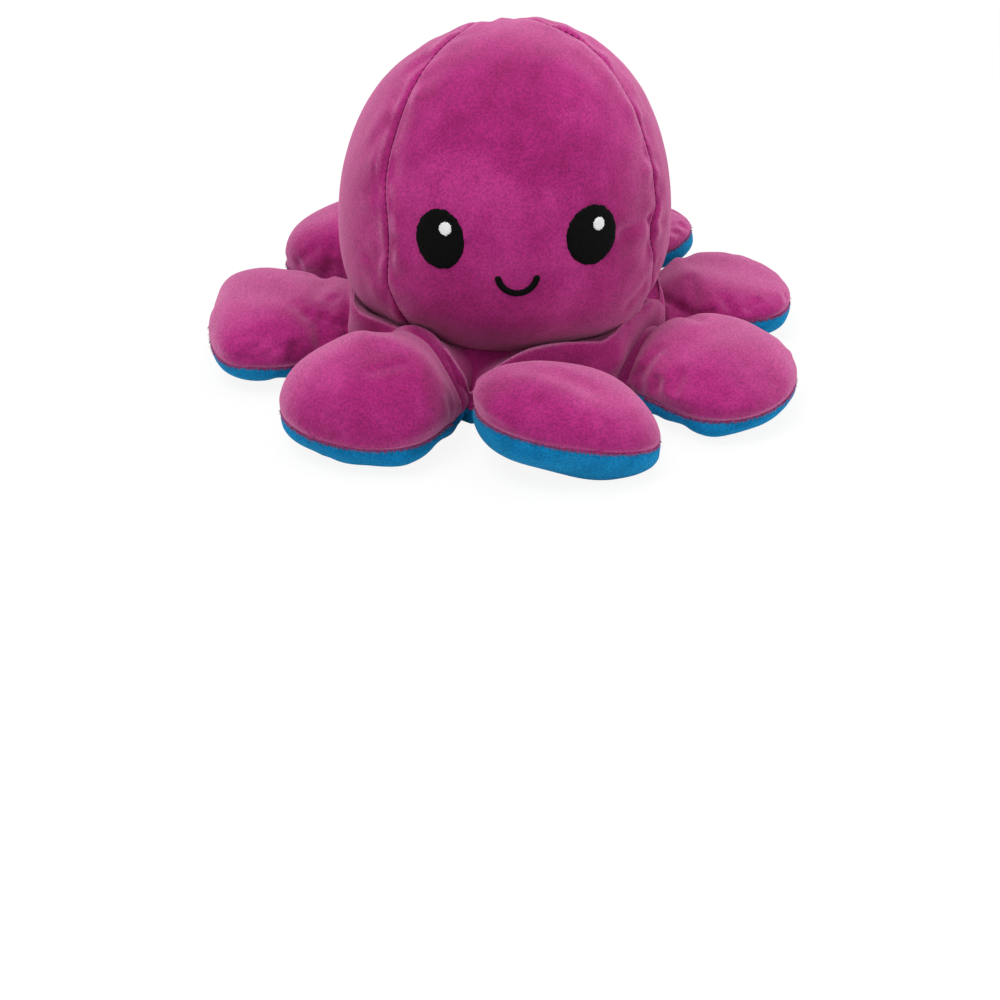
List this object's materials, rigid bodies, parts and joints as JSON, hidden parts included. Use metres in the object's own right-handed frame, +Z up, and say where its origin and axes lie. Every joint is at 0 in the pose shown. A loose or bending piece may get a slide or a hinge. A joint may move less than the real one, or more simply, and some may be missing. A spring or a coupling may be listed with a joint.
{
  "type": "reversible plush octopus",
  "caption": "Stuffed velvet octopus that turns inside out: a domed head with a pocket and a face on each side, and short padded arms on a flat web.",
  "frame": {"origin": "on the floor, under the middle of the toy", "axes": "+Z up, the smiling face looks towards -Y, +X is to the right of someone who faces it"},
  "size_m": [0.1981, 0.1904, 0.1115],
  "materials": {
    "magenta_velvet": "short-pile brushed velvet, matt with a pale sheen",
    "blue_velvet": "short-pile brushed velvet, matt with a pale sheen",
    "black_thread": "dense satin-stitch embroidery",
    "white_thread": "dense satin-stitch embroidery",
    "fibre_filling": "loose white polyester fibre"
  },
  "bodies": {
    "root": {"head_panel_right": "magenta_velvet", "head_panel_back": "magenta_velvet", "head_panel_left": "magenta_velvet", "head_panel_front": "magenta_velvet", "lining_panel_right": "blue_velvet", "lining_panel_back": "blue_velvet", "lining_panel_left": "blue_velvet", "lining_panel_front": "blue_velvet", "head_stuffing": "fibre_filling", "web_top": "magenta_velvet", "web_bottom": "blue_velvet", "smile": "black_thread", "frown": "black_thread", "eye_left": "black_thread", "eye_glint_left": "white_thread", "scowl_eye_left": "black_thread", "scowl_glint_left": "white_thread", "eye_right": "black_thread", "eye_glint_right": "white_thread", "scowl_eye_right": "black_thread", "scowl_glint_right": "white_thread"},
    "arm_front": {"arm_front_top": "magenta_velvet", "arm_front_sole": "blue_velvet", "arm_front_stuffing": "fibre_filling"},
    "arm_front_right": {"arm_front_right_top": "magenta_velvet", "arm_front_right_sole": "blue_velvet", "arm_front_right_stuffing": "fibre_filling"},
    "arm_right": {"arm_right_top": "magenta_velvet", "arm_right_sole": "blue_velvet", "arm_right_stuffing": "fibre_filling"},
    "arm_back_right": {"arm_back_right_top": "magenta_velvet", "arm_back_right_sole": "blue_velvet", "arm_back_right_stuffing": "fibre_filling"},
    "arm_back": {"arm_back_top": "magenta_velvet", "arm_back_sole": "blue_velvet", "arm_back_stuffing": "fibre_filling"},
    "arm_back_left": {"arm_back_left_top": "magenta_velvet", "arm_back_left_sole": "blue_velvet", "arm_back_left_stuffing": "fibre_filling"},
    "arm_left": {"arm_left_top": "magenta_velvet", "arm_left_sole": "blue_velvet", "arm_left_stuffing": "fibre_filling"},
    "arm_front_left": {"arm_front_left_top": "magenta_velvet", "arm_front_left_sole": "blue_velvet", "arm_front_left_stuffing": "fibre_filling"}
  },
  "joints": [
    {"name": "arm_front_bend", "type": "hinge", "parent": "root", "child": "arm_front", "pos_m": [0.00681, -0.05548, 0.0065], "axis": [-0.9925, -0.1219, 0], "range_deg": [-45, 40]},
    {"name": "arm_front_right_bend", "type": "hinge", "parent": "root", "child": "arm_front_right", "pos_m": [0.04688, -0.03044, 0.0065], "axis": [-0.5446, -0.8387, 0], "range_deg": [-45, 40]},
    {"name": "arm_right_bend", "type": "hinge", "parent": "root", "child": "arm_right", "pos_m": [0.05468, 0.01162, 0.0065], "axis": [0.2079, -0.9781, 0], "range_deg": [-45, 40]},
    {"name": "arm_back_right_bend", "type": "hinge", "parent": "root", "child": "arm_back_right", "pos_m": [0.03442, 0.04405, 0.0065], "axis": [0.788, -0.6157, 0], "range_deg": [-45, 40]},
    {"name": "arm_back_bend", "type": "hinge", "parent": "root", "child": "arm_back", "pos_m": [-0.00195, 0.05587, 0.0065], "axis": [0.9994, 0.0349, 0], "range_deg": [-45, 40]},
    {"name": "arm_back_left_bend", "type": "hinge", "parent": "root", "child": "arm_back_left", "pos_m": [-0.0374, 0.04154, 0.0065], "axis": [0.7431, 0.6691, 0], "range_deg": [-45, 40]},
    {"name": "arm_left_bend", "type": "hinge", "parent": "root", "child": "arm_left", "pos_m": [-0.05587, 0.00195, 0.0065], "axis": [0.0349, 0.9994, 0], "range_deg": [-45, 40]},
    {"name": "arm_front_left_bend", "type": "hinge", "parent": "root", "child": "arm_front_left", "pos_m": [-0.03518, -0.04344, 0.0065], "axis": [-0.7771, 0.6293, 0], "range_deg": [-45, 40]}
  ]
}
